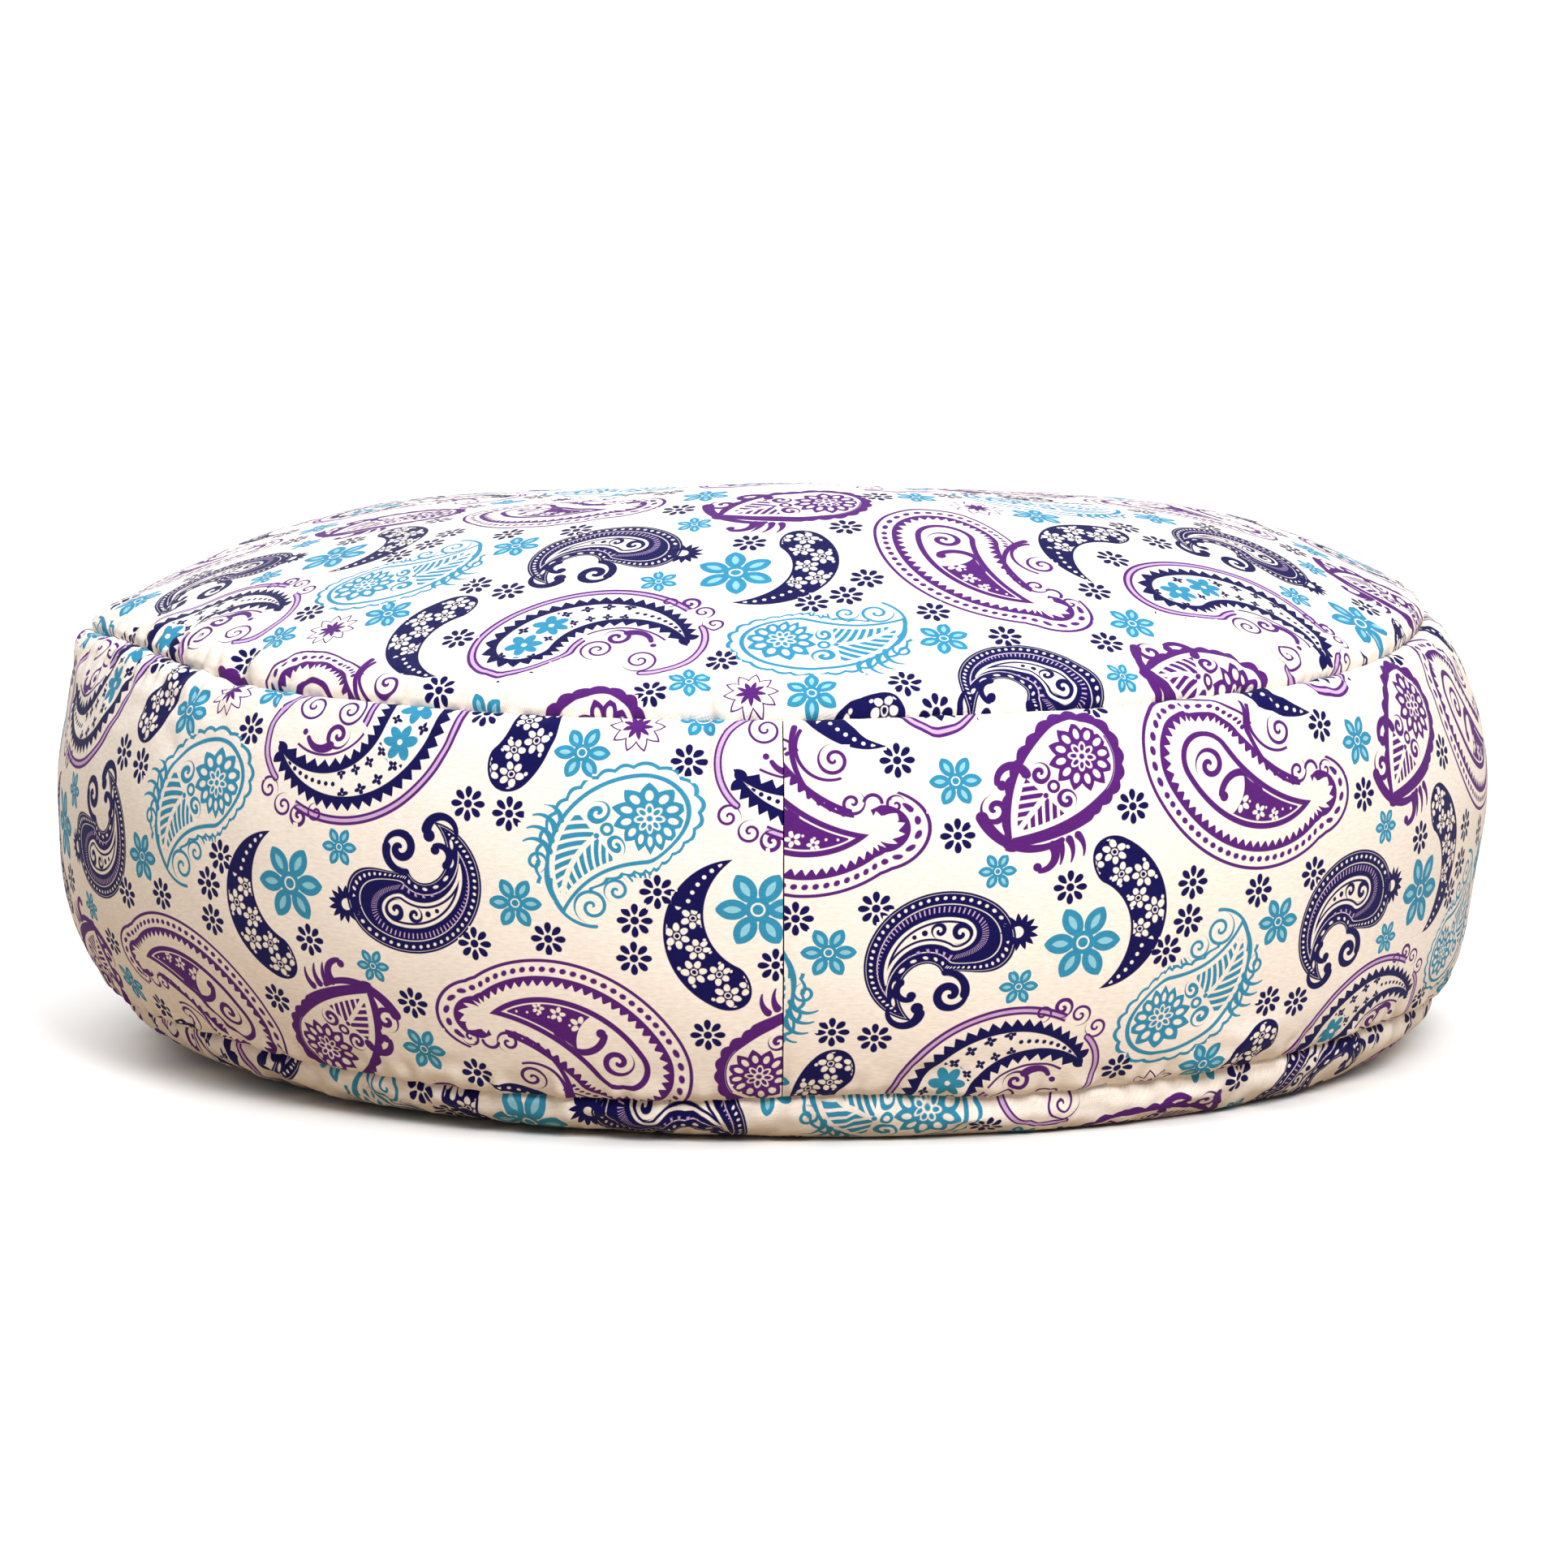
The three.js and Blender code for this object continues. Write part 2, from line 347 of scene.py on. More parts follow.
def cubic_weights(t):
    """Weights of the four points round a place that lies at share t between the middle two."""
    return np.stack([2 * t**2 - t**3 - t, 3 * t**3 - 5 * t**2 + 2, 4 * t**2 - 3 * t**3 + t, t**3 - t**2]) / 2


def fold_shift(level, angle):
    """Shift of points of the cover into the folds, read between the points of the coarse cover."""
    shift = np.zeros(level.shape + (3,))
    if FOLDS is None:
        return shift
    rows, columns = FOLDS.shape[:2]
    row = np.interp(level, FILL_LEVELS, np.arange(rows))
    column = (angle + 180) / FILL_ANGLE
    low, left = np.floor(row).astype(int), np.floor(column).astype(int)
    for i, along in enumerate(cubic_weights(row - low)):
        for j, around in enumerate(cubic_weights(column - left)):
            here = FOLDS[np.clip(low + i - 1, 0, rows - 1), (left + j - 1) % columns]
            shift += here * (along * around)[..., None]
    return shift


def round_seam_pull(distance, angle, depth, seed, gather):
    """How far a round seam draws the cover in: a channel, a notch at its thread, and gathers."""
    uneven = 1 + 0.3 * ripple(angle, BROAD_WAVES, seed)
    gathers = gather * ripple(angle, GATHER_WAVES, seed + 1)
    channel = depth * uneven * smooth_bump(distance / SEAM_REACH) ** 1.5
    notch = NOTCH * (1 + gathers) * smooth_bump(distance / NOTCH_REACH)
    return channel + notch + 0.9 * gathers * smooth_bump(distance / (1.7 * SEAM_REACH))


def sewn_cover(level, angle, inward=0.0):
    """Points of the sewn cover about the origin, in metres."""
    level, angle = np.broadcast_arrays(np.asarray(level, float), np.asarray(angle, float))
    from_low, from_top = seam_distances(level)
    top_pull = TOP_PULL * (1 - 0.85 * near_angle(angle, *FLAT_CHANNEL))
    pull = round_seam_pull(from_top, angle, top_pull, 11, gathered(angle))
    pull += round_seam_pull(from_low, angle, LOW_PULL, 23, 0.45)
    ridge = (level < 2) * smooth_bump((from_top - RIDGE_BELOW[0]) / RIDGE_BELOW[1])
    pull -= RIDGE * near_angle(angle, *RIDGE_PLACE) * ridge
    crease = smooth_bump((level - CREASE_LEVEL[0]) / CREASE_LEVEL[1])
    pull += CREASE * near_angle(angle, *CREASE_PLACE) * crease
    pull *= level > FILLED_FROM
    on_band = (level > 1) & (level < 2)
    clear = 1 - smooth_bump(np.minimum(from_low, from_top) / EDGE_CLEAR)
    for seam in (FRONT_SEAM, BACK_SEAM):
        pull += on_band * clear * UPRIGHT_PULL * near_angle(angle, seam, UPRIGHT_REACH / MM_PER_DEGREE)
    points = cover_point(level, angle) + fold_shift(level, angle) - MIDDLE
    points -= cover_normal(level, angle) * (pull + inward)[..., None]
    points[..., 2] = np.maximum(points[..., 2], 0)
    return points * MM


# Cut pieces. Each is a closed shell of an outer face, seam allowances turned in, and a coarse inner wall.
def square_disc(count):
    """Points of a disc made from a square grid, as share of its radius and degrees, its faces and its rim."""
    a, b = np.meshgrid(np.linspace(-1, 1, count + 1), np.linspace(-1, 1, count + 1))
    wide = abs(a) >= abs(b)
    share = np.maximum(abs(a), abs(b))
    safe = np.where(share == 0, 1, share)
    ahead = np.where(wide, 45 * b / safe, 90 - 45 * a / safe)
    ahead = np.where(wide & (a < 0), 180 - ahead, ahead)
    ahead = np.where(~wide & (b < 0), -ahead, ahead)
    number = np.arange((count + 1) ** 2).reshape(count + 1, count + 1)
    rim = np.concatenate([number[:-1, -1], number[-1, :0:-1], number[:0:-1, 0], number[0, :-1]])
    return share.ravel(), ahead.ravel(), grid_quads(number), rim


def round_panel(name, edge, level_at, rim_length):
    """A round panel: level_at gives the level at a distance from its middle."""
    share, angle, faces, rim = square_disc(DISC_COUNT[name])
    distance = share * (rim_length - edge[0] - DISC_GAP)
    around = angle[rim]
    points = [sewn_cover(level_at(distance), angle)]
    cloth = [np.stack([distance, angle], axis=-1)]
    last, total = rim, len(share)
    rows = [(rim_length - step, 0) for step in edge] + [(rim_length - CLEFT, depth) for depth in TURNED_IN]
    rows += [(rim_length * ring, WALL) for ring in WALL_RINGS]
    for at, depth in rows:
        row = np.arange(total, total + len(rim))
        points.append(sewn_cover(np.full(len(rim), level_at(np.array(at))), around, depth))
        out = at if depth < WALL else 0
        cloth.append(np.stack([np.full(len(rim), out + min(depth, TURNED_IN[-1])), around], axis=-1))
        faces += quads_between(last, row, closed=True)
        last, total = row, total + len(rim)
    points.append(sewn_cover(level_at(np.zeros(1)), np.zeros(1), WALL))
    cloth.append(np.zeros((1, 2)))
    faces += [(a, b, total) for a, b in zip(last, np.append(last[1:], last[0]))]
    inner_start = len(faces) - len(rim) * (len(WALL_RINGS) + 1)
    return name, np.concatenate(points), faces, np.concatenate(cloth), inner_start


def zipped(fine, coarse):
    """Triangles between an edge of many points and an edge of few."""
    share = (len(coarse) - 1) / (len(fine) - 1)
    faces = []
    for i in range(len(fine) - 1):
        near, far = round(i * share), round((i + 1) * share)
        faces.append((fine[i], fine[i + 1], coarse[far]))
        if near != far:
            faces.append((fine[i], coarse[far], coarse[near]))
    return faces


def rows_between_seams(length, spacing, edge):
    """Places from one seam to another, closer beside the seams, with how deep each is turned in."""
    inner = np.linspace(edge[0], length - edge[0], round((length - 2 * edge[0]) / spacing) + 1)
    near = [(CLEFT, depth) for depth in reversed(TURNED_IN)] + [(step, 0) for step in reversed(edge)]
    far = [(length - at, depth) for at, depth in reversed(near)]
    return np.array(near + [(at, 0) for at in inner[1:-1]] + far).T


def band_panel(name, first_angle, last_angle):
    """One length of the side band, between the two upright seams."""
    down, down_depth = rows_between_seams(BAND_LENGTH, BAND_SPACING[0], EDGE_STEPS)
    length = (last_angle - first_angle) * MM_PER_DEGREE
    around, around_depth = rows_between_seams(length, BAND_SPACING[1], UPRIGHT_STEPS)
    angle = first_angle + around / MM_PER_DEGREE
    wall_down = np.linspace(WALL_MARGIN, BAND_LENGTH - WALL_MARGIN, WALL_ROWS)
    depth = np.maximum(down_depth[:, None], around_depth)
    outer = sewn_cover((2 - down / BAND_LENGTH)[:, None], angle, depth)
    wall = sewn_cover((2 - wall_down / BAND_LENGTH)[:, None], angle, WALL)
    points = np.concatenate([outer, wall])
    number = np.arange(points.size // 3).reshape(points.shape[:2])
    face_rows, wall_rows = number[:len(down)], number[len(down):]
    faces = grid_quads(face_rows)
    inner_start = len(faces)
    faces += grid_quads(wall_rows)
    for side in (0, -1):
        faces += quads_between(face_rows[side], wall_rows[side])
    for side in (0, -1):
        faces += zipped(face_rows[:, side], wall_rows[:, side])
    cloth = np.zeros(points.shape[:2] + (2,))
    cloth[:len(down), :, 0] = around + np.where(around < length / 2, -1, 1) * around_depth
    cloth[:len(down), :, 1] = (down + np.where(down < BAND_LENGTH / 2, -1, 1) * down_depth)[:, None]
    return name, points.reshape(-1, 3), faces, cloth.reshape(-1, 2), inner_start


def make_piece(name, points, faces):
    """A closed mesh object, smooth, with its faces turned outwards."""
    piece = mesh_object(name, points, faces)
    mesh = piece.data
    shell = bmesh.new()
    shell.from_mesh(mesh)
    bmesh.ops.recalc_face_normals(shell, faces=shell.faces[:])
    shell.to_mesh(mesh)
    shell.free()
    mesh.polygons.foreach_set("use_smooth", [True] * len(mesh.polygons))
    return piece


def colour(hex_value):
    """Linear colour of an sRGB hex value."""
    parts = [int(hex_value[i:i + 2], 16) / 255 for i in (1, 3, 5)]
    return tuple(c / 12.92 if c <= 0.04045 else ((c + 0.055) / 1.055) ** 2.4 for c in parts) + (1.0,)


# The printed paisley
# One repeat of the print, in millimetres on the cloth, x along the band and y down it
REPEAT = (262, 250)

# Each paisley lies along an arc from the middle of its round head to the tip of its tail. The first arc of a
# kind is the one that its drawing is made on.
PAISLEYS = {
    "comma": [((240, 150), (219, 123), (243, 79)), ((123, 32), (133, -5), (98, -31))],
    "sawtooth": [((65, 4), (46, 41), (-14, 37))],
    "leafy": [((197, 58), (167, 74), (156, 109))],
    "thick_leafy": [((-3, 204), (17, 186), (35, 165))],
    "banded": [((180, 199), (152, 173), (110, 170))],
    "ornate": [((57, 112), (95, 107), (85, 65))],
}
# Half width of the head, how late the body narrows, and how far the lines of the figure reach beyond it
BODIES = {
    "comma": (13, 2.2, 1.5), "sawtooth": (15, 1.2, 15.5), "leafy": (23, 2.0, 7),
    "thick_leafy": (22, 2.4, 8), "banded": (16, 2.4, 23), "ornate": (23, 1.35, 2),
}
# The round places that its flourishes take: middle, radius
FLOURISHES = {
    "sawtooth": [
        ((-8, 27), 21.8), ((-8, 10), 16.5), ((10, 20), 18.5), ((24, 10), 11.5), ((-12, 60), 15),
        ((8, 66), 10),
    ],
    "leafy": [((172, 107), 12), ((184, 97), 9), ((144, 66), 12.5), ((141, 84), 8)],
    "thick_leafy": [((43, 177), 12.5), ((37, 197), 8), ((5, 158), 12), ((18, 151), 7), ((26, 160), 7)],
    "banded": [((127, 210), 10), ((102, 172), 23.5), ((98, 185), 9), ((117, 188), 9), ((150, 224), 9)],
    "ornate": [((65, 82), 11), ((29, 114), 11), ((88, 71), 12.5)],
}
# Round flowers: middle, radius
FLORETS = [
    (104, 54), (127, 58), (205, 97), (193, 113), (192, 134), (147, 125), (106, 130), (3, 137), (229, 178),
    (64, 168), (94, 209), (106, 3), (220, 27), (241, 236),
]
FLOWERS = {
    "star_flower": [
        (256, 106, 21), (164, 24, 14.5), (130, 106, 14), (64, 197, 13.5), (226, 2, 12), (28, 83, 10.5),
        (43, 148, 10),
    ],
    "floret": [(*place, 9.5) for place in FLORETS],
    "sunburst": [(192, 8, 15)],
}
# Kind and middle of each figure of the repeat, with the arc of a paisley or the radius of a flower
FIGURES = [(kind, arc[1], arc) for kind, arcs in PAISLEYS.items() for arc in arcs]
FIGURES += [(kind, (x, y), radius) for kind, rows in FLOWERS.items() for x, y, radius in rows]
DRAWN_RADIUS = {"star_flower": 21, "floret": 10, "sunburst": 17}  # at which a flower is drawn
KINDS = ["plain", *PAISLEYS, *FLOWERS]
PLAIN_FROM = 2.0  # cloth further than this from every figure is plain


def arc_through(head, middle, tip):
    """Centre, radius and signed turn of the arc through three points, and the direction of its middle."""
    head, middle, tip = (complex(*point) for point in (head, middle, tip))
    share = (tip - head) / (middle - head)
    centre = head + (middle - head) * (share - abs(share) ** 2) / (2j * share.imag)
    start, mid, end = (cmath.phase(point - centre) for point in (head, middle, tip))
    turn = (end - start) % (2 * math.pi)
    if (mid - start) % (2 * math.pi) > turn:
        turn -= 2 * math.pi
    return centre, abs(head - centre), turn, start + turn / 2


def to_frame(x, y, arc):
    """Places in the frame of an arc: its centre at 0, its middle along x and its tail at positive y."""
    centre, _, turn, facing = arc_through(*arc)
    place = (x + 1j * y - centre) * cmath.rect(1, -facing)
    return place.real, place.imag * math.copysign(1, turn)


def from_frame(ahead, aside, arc):
    centre, _, turn, facing = arc_through(*arc)
    place = (ahead + 1j * aside * math.copysign(1, turn)) * cmath.rect(1, facing) + centre
    return place.real, place.imag


def paisley_reach(kind, x, y):
    """Rough distance from a paisley and its flourishes."""
    _, radius, turn, _ = arc_through(*PAISLEYS[kind][0])
    length = radius * abs(turn)
    ahead, aside = to_frame(x, y, PAISLEYS[kind][0])
    along = np.arctan2(aside, ahead) * radius + length / 2
    inside = np.clip(along, 0, length)
    head, taper, reach = BODIES[kind]
    width = head * (1 - (inside / length) ** taper)
    away = np.hypot(np.hypot(ahead, aside) - radius, along - inside) - width - reach
    for (fx, fy), size in FLOURISHES.get(kind, []):
        away = np.minimum(away, np.hypot(x - fx, y - fy) - size)
    return away


def lay_print(corners):
    """Places in the nearest figure, and its kind, for faces laid on the cloth: (faces, corners, 2).

    A place in a flower is counted from its middle, and one in a paisley is where it lies on the repeat.
    """
    best = np.full(len(corners), PLAIN_FROM)
    place = np.zeros_like(corners)
    kinds = np.zeros(len(corners), int)
    points = np.concatenate([corners, corners.mean(axis=1, keepdims=True)], axis=1)
    for kind, middle, size in FIGURES:
        nearest = np.round((points[:, -1] - middle) / REPEAT) * REPEAT
        for step in np.ndindex(3, 3):
            x, y = np.moveaxis(points - (nearest + (np.array(step) - 1) * REPEAT)[:, None, :], -1, 0)
            if kind in PAISLEYS:
                x, y = from_frame(*to_frame(x, y, size), PAISLEYS[kind][0])
                away = paisley_reach(kind, x[:, -1], y[:, -1])
            else:
                drawn = DRAWN_RADIUS[kind]
                x, y = (x - middle[0]) * drawn / size, (y - middle[1]) * drawn / size
                away = (np.hypot(x[:, -1], y[:, -1]) - drawn) * size / drawn
            near = away < best
            best[near] = away[near]
            place[near] = np.stack([x[near, :-1], y[near, :-1]], axis=-1)
            kinds[near] = KINDS.index(kind)
    return place, kinds


class Field:
    """A number that varies over the cloth: one output of a node."""

    def __init__(self, socket):
        self.socket = socket


def add_node(tree, kind, *inputs, **settings):
    """Add a node to a tree, with its settings, and with numbers or fields in its inputs in their order."""
    node = tree.nodes.new(kind)
    for name, value in settings.items():
        setattr(node, name, value)
    for socket, value in zip(node.inputs, inputs):
        if isinstance(value, Field):
            tree.links.new(value.socket, socket)
        elif value is not None:
            socket.default_value = value
    return node


# What can be done with a field, and the operation of the node that does it
FIELD_MATHS = {
    "__add__": "ADD", "__sub__": "SUBTRACT", "__mul__": "MULTIPLY", "__pow__": "POWER", "__abs__": "ABSOLUTE",
    "times_plus": "MULTIPLY_ADD", "root": "SQRT", "sine": "SINE", "sign": "SIGN", "angle": "ARCTAN2",
    "cosine": "COSINE", "least": "MINIMUM", "most": "MAXIMUM", "wrapped": "WRAP", "folded": "PINGPONG",
}


def field_method(operation):
    def method(field, *others, clamp=False):
        tree = field.socket.id_data
        node = add_node(tree, "ShaderNodeMath", field, *others, operation=operation, use_clamp=clamp)
        return Field(node.outputs[0])
    return method


for name, operation in FIELD_MATHS.items():
    setattr(Field, name, field_method(operation))


# Brushes. Each gives the distance in millimetres from the shape that it draws, below zero inside it.
def hypot(x, y):
    return y.times_plus(y, x * x).root()


def joined(*shapes):
    return reduce(Field.least, shapes)


def within(*shapes):
    return reduce(Field.most, shapes)


def outside(shape):
    return shape * -1


def cut(shape, hole):
    return within(shape, outside(hole))


def line(shape, at, width):
    """A line of this width along one contour of a shape."""
    return abs(shape - at) - width / 2


def disc(x, y, place, radius):
    return hypot(x - place[0], y - place[1]) - radius


def along_arc(x, y, arc):
    """Distance along an arc from its start, distance across it, and its length."""
    centre, radius, turn, facing = arc_through(*arc)
    side, c, s = math.copysign(1, turn), math.cos(facing), math.sin(facing)
    shift = centre * complex(c, -s)
    ahead = x.times_plus(c, y.times_plus(s, -shift.real))
    aside = x.times_plus(-s * side, y.times_plus(c * side, -shift.imag * side))
    length = radius * abs(turn)
    return aside.angle(ahead).times_plus(radius, length / 2), hypot(ahead, aside) - radius, length


def stroke(x, y, arc, first, last):
    """A brush stroke through three places, with these half widths at its start and end."""
    along, across, length = along_arc(x, y, arc)
    inside = along.most(0).least(length)
    return hypot(across, along - inside) - inside.times_plus((last - first) / length, first)


def curl(x, y, centre, radius, width, pitch, end, turn=1):
    """A spiral line that winds inwards from its outer end, which lies at this angle in degrees."""
    dx, dy = x - centre[0], y - centre[1]
    out = hypot(dx, dy)
    start = radius / pitch - turn * end / 360
    lap = dy.angle(dx).times_plus(-turn / (2 * math.pi), -start)
    winding = abs(out.times_plus(1 / pitch, lap).wrapped(0.5, -0.5))
    return within(winding.times_plus(pitch, -width / 2), out - radius)


def penned(x, y, strokes=(), curls=(), dots=()):
    """Brush strokes, curls and dots, each given as a row of its places and sizes."""
    shapes = [stroke(x, y, row[:3], *row[3:]) for row in strokes]
    shapes += [curl(x, y, *row) for row in curls]
    return joined(*shapes, *(disc(x, y, *row) for row in dots))


def petals(x, y, count, reach, length, width):
    """Oval petals round a middle: their middles at the reach, with half their length and width."""
    out = hypot(x, y)
    side = y.angle(x).folded(math.pi / count) * out
    return hypot((out - reach) * (1 / length), side * (1 / width)).times_plus(width, -width)


def star(x, y, count, radius, depth):
    """A star of pointed rays, each as deep as given."""
    ray = y.angle(x).folded(math.pi / count)
    return ray.times_plus(depth * count / math.pi, hypot(x, y) - radius)


MEAN_WIDTH = 0.6  # of a paisley's body, as share of its head


def paisley(x, y, kind, out=3):
    """Distance along a paisley from its head, across it, from its body, and walked round it this far out."""
    along, across, length = along_arc(x, y, PAISLEYS[kind][0])
    head, taper, _ = BODIES[kind]
    ahead = along.most(0)
    inside = ahead.least(length)
    width = ((inside * (1 / length)) ** taper).times_plus(-head, head)
    body = hypot(across, along - inside) - width
    bend = (MEAN_WIDTH * head + out) / arc_through(*PAISLEYS[kind][0])[1]
    round_tail = (ahead - inside).angle(abs(across)).times_plus(out, inside)
    walk = across.angle(ahead - along).times_plus(head + out, (across.sign() + bend) * round_tail)
    return along, across, body, walk


# Drawings of the figures, each giving the shape of every ink. Their numbers are millimetres on the repeat, or
# along, across and outside a paisley.
def comma(x, y):
    """A navy comma with two rows of white blossoms, and dots in its tail."""
    along, across, body, _ = paisley(x, y, "comma")
    row = (along + 2).wrapped(10, -10)
    white = []
    for place, side in ((row, across - 4), (abs(row) - 10, across + 4.5)):
        white += [petals(place, side, 6, 4.6, 2.3, 1.9), line(hypot(place, side), 1.5, 1.0)]
    white = within(joined(*white), along - 53)
    sprinkled = hypot(abs(row) - 5, abs(across) - 9.4) - 1.1
    tail = within(hypot(along.wrapped(2.6, -2.6), across) - 1.3, along.times_plus(-1, 55))
    return {"navy": cut(body, within(joined(white, sprinkled, tail), body + 1.2))}


def sawtooth(x, y):
    """A white paisley of small flowers in a navy band with teeth, with purple lines and scrolls round it."""
    along, across, body, walk = paisley(x, y, "sawtooth")
    teeth = walk.folded(3.3).times_plus(1.3, body - 7.6)
    band = cut(teeth, body)
    row = (along + 1).wrapped(11, -11)
    flowers = joined(petals(row, across, 6, 6.2, 4.0, 2.8), line(hypot(row, across), 2.4, 1.3))
    flowers = within(flowers, along - 33)
    buds = petals((along - 1).wrapped(5.2, -5.2), abs(across) - 5.5, 4, 1.8, 1.3, 1.0)
    buds = within(buds, along - 66, along.times_plus(-1, 30), body + 0.4)
    edge = petals(abs(row) - 11, abs(across) - 9, 4, 1.8, 1.3, 1.0)
    seeds = within(hypot(along.wrapped(2.3, -2.3), across) - 1.1, along.times_plus(-1, 66), body + 0.6)
    navy = joined(band, buds, within(edge, along - 30), seeds)

    round_head = within(along - 88, walk.times_plus(-1, -50))
    double = within(joined(line(body, 11.0, 1.1), line(body, 14.4, 1.3)), round_head)
    tail_line = ((-17, 50), (-27, 26), (-8, -1))
    edge_line = stroke(x, y, tail_line, 1.6, 1.6)
    neck = within(line(body, 10.0, 1.1), across, along.times_plus(-1, 36), along - 106)
    swan_and_ruffles = penned(x, y, strokes=[((1, 27), (8, 32), (16, 30), 1.2, 2.6)], curls=[
        ((-2, 9), 10, 1.1, 5.4, -95), ((24, 10), 9.5, 1.2, 5, -60, -1), ((20, 24), 7.5, 2.4, 5.6, 80, -1),
        ((-21, 56), 6.4, 1.2, 4.6, -60), ((-10, 64), 6.2, 1.2, 4.4, 200), ((1, 69), 6, 2, 4.6, 200),
        ((12, 66), 5, 1.2, 4.2, 200),
    ], dots=[((-2, 24), 1.6)])
    purple = joined(double, line(edge_line, 0, 0.8), neck, swan_and_ruffles)
    tint = joined(within(line(body, 12.7, 3.2), round_head), edge_line + 0.5)
    return {"navy": navy, "turquoise": within(flowers, body + 1), "purple": purple, "lilac": tint}


def lace(along, across, body):
    """The inside of a leafy paisley: a great blossom, rings and curled leaves on the bare cotton."""
    ahead = along + 4
    spiky = cut(star(ahead, across, 12, 19.0, 4.6), petals(ahead, across, 12, 12.2, 3.0, 1.9))
    spiky = cut(spiky, line(petals(ahead, across, 8, 4.8, 2.9, 1.8), -0.2, 1.2))
    leaf = abs(across).times_plus(-1.1, along).wrapped(3.1, -3.1)
    fronds = within(abs(leaf) - 1.7, abs(across).times_plus(-1, 1.6), along.times_plus(-1, 26), body + 4.4)
    ring = line(hypot(along - 19, across), 2.7, 1.5)
    leaves = penned(along, across, curls=[
        ((19, -10), 5.6, 2.5, 4.9, 150), ((19, 10), 5.6, 2.5, 4.9, 210, -1),
    ], dots=[((25.5, 0), 1.3)])
    return within(joined(spiky, fronds, ring, leaves), body + 2.2)


def leafy(x, y):
    """A turquoise paisley: two thin outlines with scallops, lace inside, and scrolls at its tail."""
    along, across, body, walk = paisley(x, y, "leafy")
    scallop = abs((walk * (math.pi / 8.5)).sine())
    outer = within(line(scallop.times_plus(-1.8, body), 4.6, 1.7), along - 60)
    scrolls_and_fringe = penned(x, y, strokes=[
        ((150, 92), (157, 111), (173, 117), 0.6, 0.8), ((147.6, 84), (148, 96), (152, 104), 0.7, 0.5),
        ((149, 77), (143, 71), (135, 72), 1.7, 0.3), ((150, 71), (145, 65), (137, 65), 1.7, 0.3),
        ((152, 65), (148, 59), (140, 58), 1.7, 0.3), ((155, 60), (152, 54), (146, 52), 1.5, 0.3),
    ], curls=[
        ((171, 106), 9.5, 1.5, 6, 180, -1), ((184, 97), 6.6, 1.4, 4.8, 200, -1),
        ((142, 83), 5.8, 1.5, 4.6, 0),
    ])
    ticks = within(walk.folded(2.2) - 0.9, line(body, 8.2, 4.4), across + 12, line(along, 14, 34))
    inside = lace(along, across, body)
    return {"turquoise": joined(line(body, 0, 1.9), outer, scrolls_and_fringe, ticks, inside)}


def thick_leafy(x, y):
    """A purple paisley: lace in a thick scalloped outline that runs out into a hooked tail."""
    along, across, body, walk = paisley(x, y, "thick_leafy")
    scallop = abs((walk * (math.pi / 9)).sine())
    outline = cut(scallop.times_plus(-1.8, body - 4.6), body - 0.4)
    thickness = along.times_plus(0.35, 1.0).least(7.0).most(0.0)
    crescent = within(cut(body - thickness, body + 0.5), across)
    tail_and_spikes = penned(x, y, strokes=[
        ((8, 163), (36, 162), (51, 177), 1.4, 3.2), ((26, 199), (37, 203), (42, 195), 2.6, 1.5),
        ((13, 160), (13, 151), (20, 147), 2.6, 1.3), ((4, 163), (2, 157), (3, 151), 2.0, 0.3),
        ((-1, 165), (-4, 160), (-4, 154), 2.0, 0.3), ((9, 161), (8, 155), (9, 150), 2.0, 0.3),
    ], curls=[((44, 181), 7.8, 3.0, 6.6, -20)], dots=[((39.5, 193.5), 2.6), ((21.5, 149), 2.2)])
    return {"purple": joined(outline, crescent, tail_and_spikes, lace(along, across, body))}


def banded(x, y):
    """A large purple line paisley: a heavy teardrop with a scroll, inside bands of teeth, dots and line."""
    along, across, body, walk = paisley(x, y, "banded", 13)
    heavy = within(line(body, -1.4, 3.0), body)
    around = body.least(hypot(along - 91, across))
    teeth = within(line(around, 9.2, 4.2), walk.folded(2.7).times_plus(-1.5, around.times_plus(-1, 10.4)))
    rail = line(around, 11.6, 1.8)
    dots = hypot(walk.wrapped(2.6, -2.6), around - 16.6) - 1.45
    outside_curve = joined(across * -1, within(along.times_plus(-1, 88), across.times_plus(-1, -12)))
    bands = joined(
        within(joined(teeth, rail), joined(outside_curve, along - 76)),
        within(joined(dots, line(around, 21.6, 1.5)), joined(outside_curve, walk.times_plus(-1, -50))),
    )
    inside = penned(
        x, y, [((147, 178), (163, 190), (173, 180), 2.0, 1.8)], [((179, 196), 9.0, 3.0, 7.0, 60, -1)],
        [((171.5, 178.5), 2.6)],
    )
    blossoms = joined(
        petals(x - 160, y - 174, 5, 3.4, 2.4, 1.7),
        petals(x - 148.5, y - 168, 5, 2.8, 2.0, 1.4),
        petals(x - 138, y - 165, 5, 2.2, 1.6, 1.2),
        hypot((along - 78).wrapped(3.0, -3.0), across) - 0.9,
    )
    filled = cut(within(body + 4.2, along.times_plus(-1, 12), outside(disc(x, y, (178, 186), 21))), blossoms)
    scrolls = penned(x, y, strokes=[
        ((103, 187), (107, 191), (112, 188), 0.8, 0.8), ((118, 180), (141, 194), (147, 228), 0.7, 1.6),
        ((124, 200), (137, 201), (144, 226), 0.6, 1.0),
    ], curls=[
        ((96, 185.5), 5.2, 1.3, 4.4, 90), ((118, 187), 6.6, 1.5, 5.0, 200, -1),
        ((127, 210), 8.5, 1.7, 5.6, 10),
    ])
    return {"purple": joined(heavy, bands, filled, within(inside, body + 3), scrolls)}


